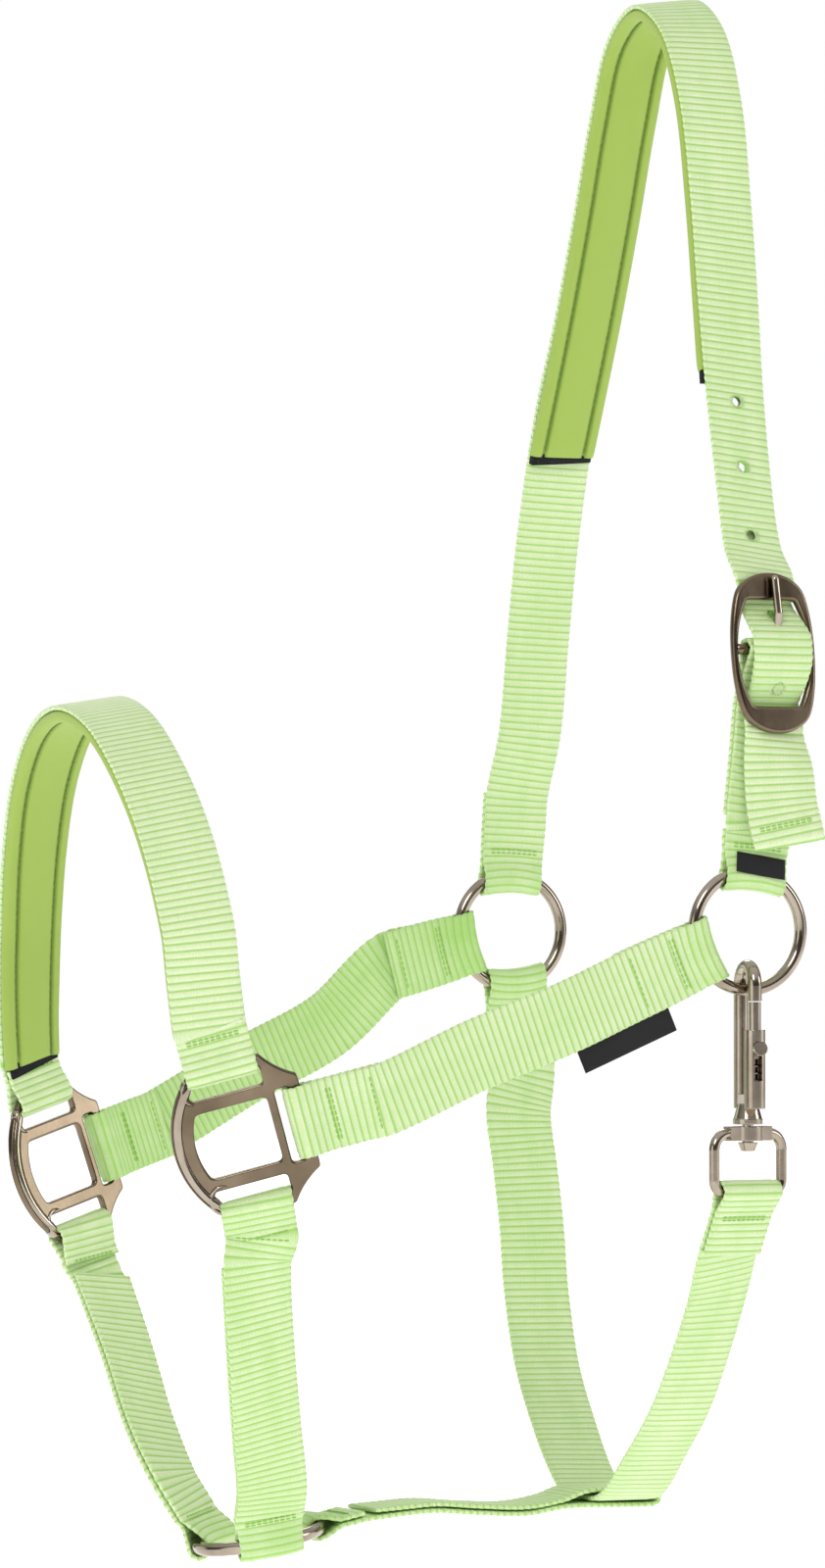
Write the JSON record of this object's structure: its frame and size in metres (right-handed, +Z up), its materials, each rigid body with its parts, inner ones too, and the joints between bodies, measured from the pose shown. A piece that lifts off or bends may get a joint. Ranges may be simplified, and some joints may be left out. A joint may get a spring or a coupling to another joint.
{
  "type": "horse head halter",
  "caption": "Horse head halter of flat woven nylon webbing with padded crown and noseband, cast side plates, rings, a tongue buckle at the crown and a bolt snap at the throat.",
  "frame": {"origin": "the poll rest: the middle of the padded crown's inner top, where the crown strap lies behind the horse's ears", "axes": "+Z up along the hanging length, -X toward the nose, +X to the back of the head, -Y the horse's near (left) side with the buckle and the snap, +Y its far side"},
  "size_m": [0.2495, 0.2222, 0.5607],
  "materials": {
    "webbing": "ribbed neon lime nylon webbing with a beaded selvedge",
    "lining": "fine twill lining cloth, olive lime, matte",
    "foam": "black cellular foam sheet, matte",
    "label": "black woven label, blank",
    "nickel": "dark smoked nickel plate on cast zinc",
    "nickel_bright": "dark nickel plate, polished",
    "spring_steel": "plain spring wire"
  },
  "bodies": {
    "webbing_network": {"crown_strap": "webbing", "crown_pad_foam": "foam", "crown_pad_lining": "lining", "billet_strap": "webbing", "size_label": "label", "buckle_frame": "nickel", "near_cheek_strap": "webbing", "far_cheek_strap": "webbing", "near_side_plate": "nickel", "far_side_plate": "nickel", "noseband_strap": "webbing", "nose_pad_foam": "foam", "nose_pad_lining": "lining", "near_chin_strap": "webbing", "far_chin_strap": "webbing", "jaw_strap": "webbing", "throat_strap": "webbing", "swivel_loop": "nickel_bright"},
    "near_ring": {"near_ring": "nickel_bright"},
    "far_ring": {"far_ring": "nickel_bright"},
    "chin_ring": {"chin_ring": "nickel_bright"},
    "tongue": {"buckle_tongue": "nickel_bright"},
    "tail": {"crown_tail": "webbing"},
    "snap": {"snap_body": "nickel_bright", "snap_spring": "spring_steel"},
    "bolt": {"snap_bolt": "nickel_bright"},
    "label_flap": {"maker_label": "label"}
  },
  "joints": [
    {"name": "near_ring_spin", "type": "hinge", "parent": "webbing_network", "child": "near_ring", "pos_m": [-0.0074, -0.0996, -0.3234], "axis": [0, -1, 0], "continuous": true},
    {"name": "far_ring_spin", "type": "hinge", "parent": "webbing_network", "child": "far_ring", "pos_m": [-0.0074, 0.0996, -0.3234], "axis": [0, 1, 0], "continuous": true},
    {"name": "chin_ring_spin", "type": "hinge", "parent": "webbing_network", "child": "chin_ring", "pos_m": [-0.1509, 0, -0.5375], "axis": [-0.1736, 0, 0.9848], "continuous": true},
    {"name": "tongue_pivot", "type": "hinge", "parent": "webbing_network", "child": "tongue", "pos_m": [0.0015, -0.1025, -0.225], "axis": [0.9848, 0.1736, 0], "range_deg": [0, 6]},
    {"name": "tail_swing", "type": "hinge", "parent": "webbing_network", "child": "tail", "pos_m": [0.00158, -0.10297, -0.25632], "axis": [0.9848, 0.1736, 0], "range_deg": [-18, 1]},
    {"name": "snap_turn", "type": "hinge", "parent": "webbing_network", "child": "snap", "pos_m": [-0.0074, -0.0996, -0.394], "axis": [0, 0, 1], "range_deg": [-20, 25]},
    {"name": "bolt_slide", "type": "slide", "parent": "snap", "child": "bolt", "axis": [0, 0, -1], "range_m": [0, 0.009], "stiffness_N_per_m": 150, "springref_m": -0.004, "deforming": ["snap_spring"]},
    {"name": "label_flap", "type": "hinge", "parent": "webbing_network", "child": "label_flap", "pos_m": [-0.05528, -0.0999, -0.35936], "axis": [0.9212, 0, 0.3891], "range_deg": [-30, 8]}
  ]
}
